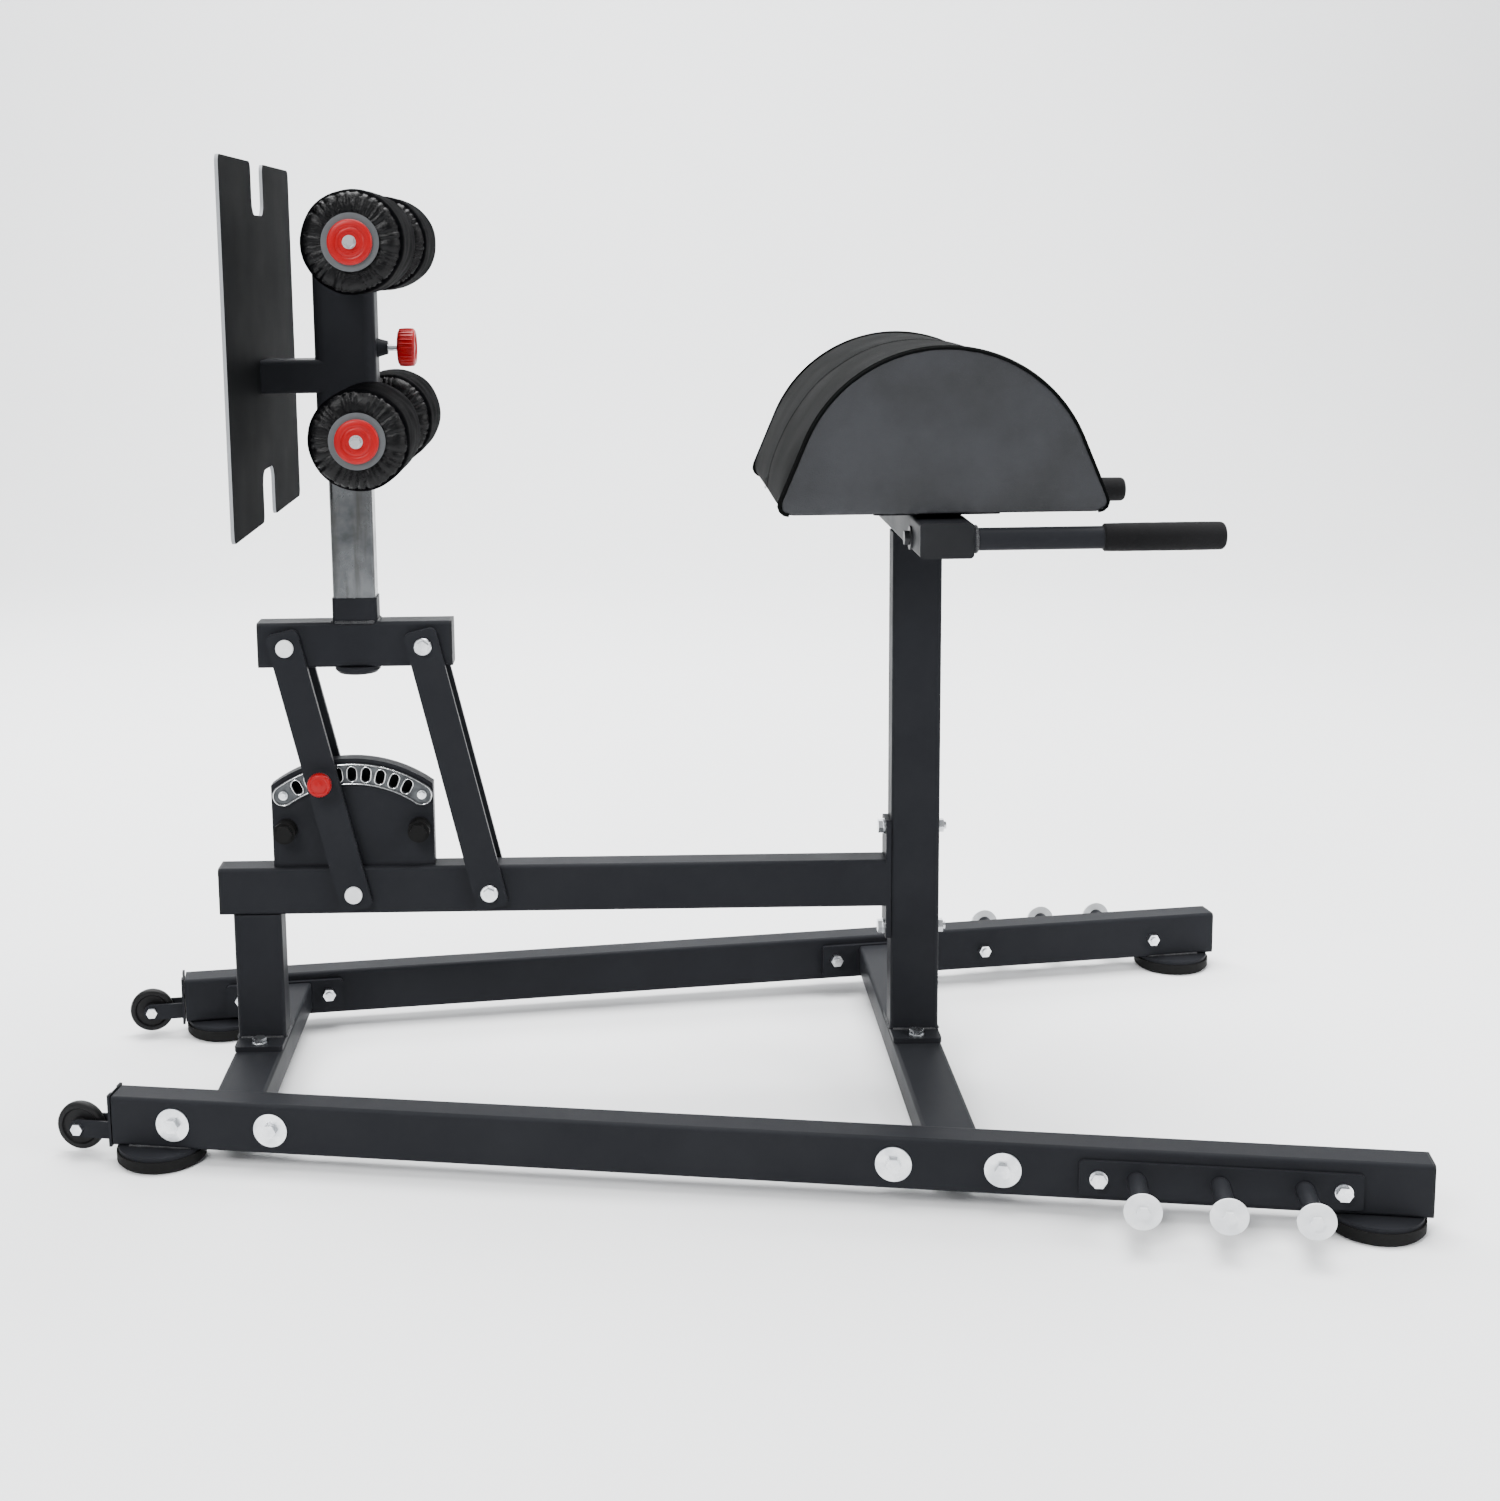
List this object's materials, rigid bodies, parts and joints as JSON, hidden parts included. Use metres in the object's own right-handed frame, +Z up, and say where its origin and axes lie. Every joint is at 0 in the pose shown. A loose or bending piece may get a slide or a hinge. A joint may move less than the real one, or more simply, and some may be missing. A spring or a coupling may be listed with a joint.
{
  "type": "glute ham developer bench",
  "caption": "Floor-standing glute-ham bench: D-shaped hip pad with handles, and a footplate with ankle rollers on an adjustable parallelogram linkage.",
  "frame": {"origin": "on the floor, under the middle of the machine's bounding box", "axes": "+X from the footplate end to the hip pad end, +Y to the left, +Z up"},
  "size_m": [1.9205, 1.261, 1.448],
  "materials": {
    "frame_paint": "satin textured powder coat",
    "zinc": "bright zinc plate",
    "bare_steel": "brushed, lightly stained",
    "cast_arc": "polished casting",
    "red_plastic": "satin moulded",
    "grey_plastic": "moulded",
    "black_plastic": "moulded",
    "rubber": "matte",
    "wheel_rubber": "matte",
    "foam_grip": "matte closed-cell foam",
    "roller_cover": "coated, gathered",
    "pad_cover": "vinyl-coated cloth over foam, fine grain",
    "board_wood": "plywood"
  },
  "bodies": {
    "base": {"right_rail": "frame_paint", "left_rail": "frame_paint", "feet": "rubber", "foot_plates": "frame_paint", "wheel_brackets": "frame_paint", "wheel_axle_bolts": "zinc", "rear_crossbeam": "frame_paint", "front_crossbeam": "frame_paint", "crossbeam_bolts": "zinc", "right_peg_rack": "frame_paint", "left_peg_rack": "frame_paint", "peg_end_washers": "zinc", "rear_post": "frame_paint", "main_post": "frame_paint", "main_beam": "frame_paint", "frame_bolts": "zinc", "handle_crossbar": "frame_paint", "crossbar_bolts": "zinc", "frame_plugs": "black_plastic", "right_handle": "frame_paint", "left_handle": "frame_paint", "right_grip": "foam_grip", "left_grip": "foam_grip", "pad_board": "board_wood", "hip_pad": "pad_cover", "quadrant": "frame_paint", "position_arc": "cast_arc", "arc_screws": "zinc", "bumpers": "rubber"},
    "right_wheel": {"right_wheel": "wheel_rubber"},
    "left_wheel": {"left_wheel": "wheel_rubber"},
    "rear_link": {"rear_link_right": "frame_paint", "rear_link_left": "frame_paint", "rear_link_pins": "zinc", "lock_housing": "zinc"},
    "front_link": {"front_link_right": "frame_paint", "front_link_left": "frame_paint", "front_link_pins": "zinc"},
    "angle_pin": {"lock_plunger": "bare_steel", "lock_knob": "red_plastic"},
    "carriage": {"carriage_bar": "frame_paint", "upright": "bare_steel", "upright_collar": "frame_paint", "carriage_plugs": "black_plastic"},
    "sleeve": {"sleeve": "frame_paint", "sleeve_liners": "black_plastic", "footplate": "frame_paint", "roller_axles": "frame_paint", "roller_caps": "red_plastic", "roller_bolts": "zinc"},
    "height_pin": {"sleeve_plunger": "bare_steel", "sleeve_knob": "red_plastic"},
    "upper_right_roller": {"upper_right_roller": "roller_cover", "upper_right_hub": "grey_plastic"},
    "upper_left_roller": {"upper_left_roller": "roller_cover", "upper_left_hub": "grey_plastic"},
    "lower_right_roller": {"lower_right_roller": "roller_cover", "lower_right_hub": "grey_plastic"},
    "lower_left_roller": {"lower_left_roller": "roller_cover", "lower_left_hub": "grey_plastic"}
  },
  "joints": [
    {"name": "right_wheel_spin", "type": "hinge", "parent": "base", "child": "right_wheel", "pos_m": [-0.91847, -0.23488, 0.044], "axis": [0.1537, 0.9881, 0], "continuous": true},
    {"name": "left_wheel_spin", "type": "hinge", "parent": "base", "child": "left_wheel", "pos_m": [-0.91847, 0.23488, 0.044], "axis": [-0.1537, 0.9881, 0], "continuous": true},
    {"name": "rear_link_pivot", "type": "hinge", "parent": "base", "child": "rear_link", "pos_m": [-0.53, 0, 0.328], "axis": [0, 1, 0], "range_deg": [-13.5, 40.5]},
    {"name": "front_link_pivot", "type": "hinge", "parent": "base", "child": "front_link", "pos_m": [-0.319, 0, 0.328], "axis": [0, 1, 0], "range_deg": [-13.5, 40.5]},
    {"name": "carriage_pivot", "type": "hinge", "parent": "rear_link", "child": "carriage", "pos_m": [-0.6218, 0, 0.71938], "axis": [0, 1, 0], "range_deg": [-40.5, 13.5]},
    {"name": "angle_pin_slide", "type": "slide", "parent": "rear_link", "child": "angle_pin", "axis": [0, 1, 0], "range_m": [0, 0.009]},
    {"name": "sleeve_slide", "type": "slide", "parent": "carriage", "child": "sleeve", "axis": [0, 0, 1], "range_m": [-0.2, 0.1]},
    {"name": "height_pin_slide", "type": "slide", "parent": "sleeve", "child": "height_pin", "axis": [-1, 0, 0], "range_m": [0, 0.01]},
    {"name": "upper_right_roller_spin", "type": "hinge", "parent": "sleeve", "child": "upper_right_roller", "pos_m": [-0.47, -0.175, 1.32748], "axis": [0, 1, 0], "continuous": true},
    {"name": "upper_left_roller_spin", "type": "hinge", "parent": "sleeve", "child": "upper_left_roller", "pos_m": [-0.47, 0.175, 1.32748], "axis": [0, 1, 0], "continuous": true},
    {"name": "lower_right_roller_spin", "type": "hinge", "parent": "sleeve", "child": "lower_right_roller", "pos_m": [-0.47, -0.175, 1.05498], "axis": [0, 1, 0], "continuous": true},
    {"name": "lower_left_roller_spin", "type": "hinge", "parent": "sleeve", "child": "lower_left_roller", "pos_m": [-0.47, 0.175, 1.05498], "axis": [0, 1, 0], "continuous": true}
  ],
  "couplings": [
    {"joint": "front_link_pivot", "follows": "rear_link_pivot", "ratio": 1},
    {"joint": "carriage_pivot", "follows": "rear_link_pivot", "ratio": -1}
  ]
}
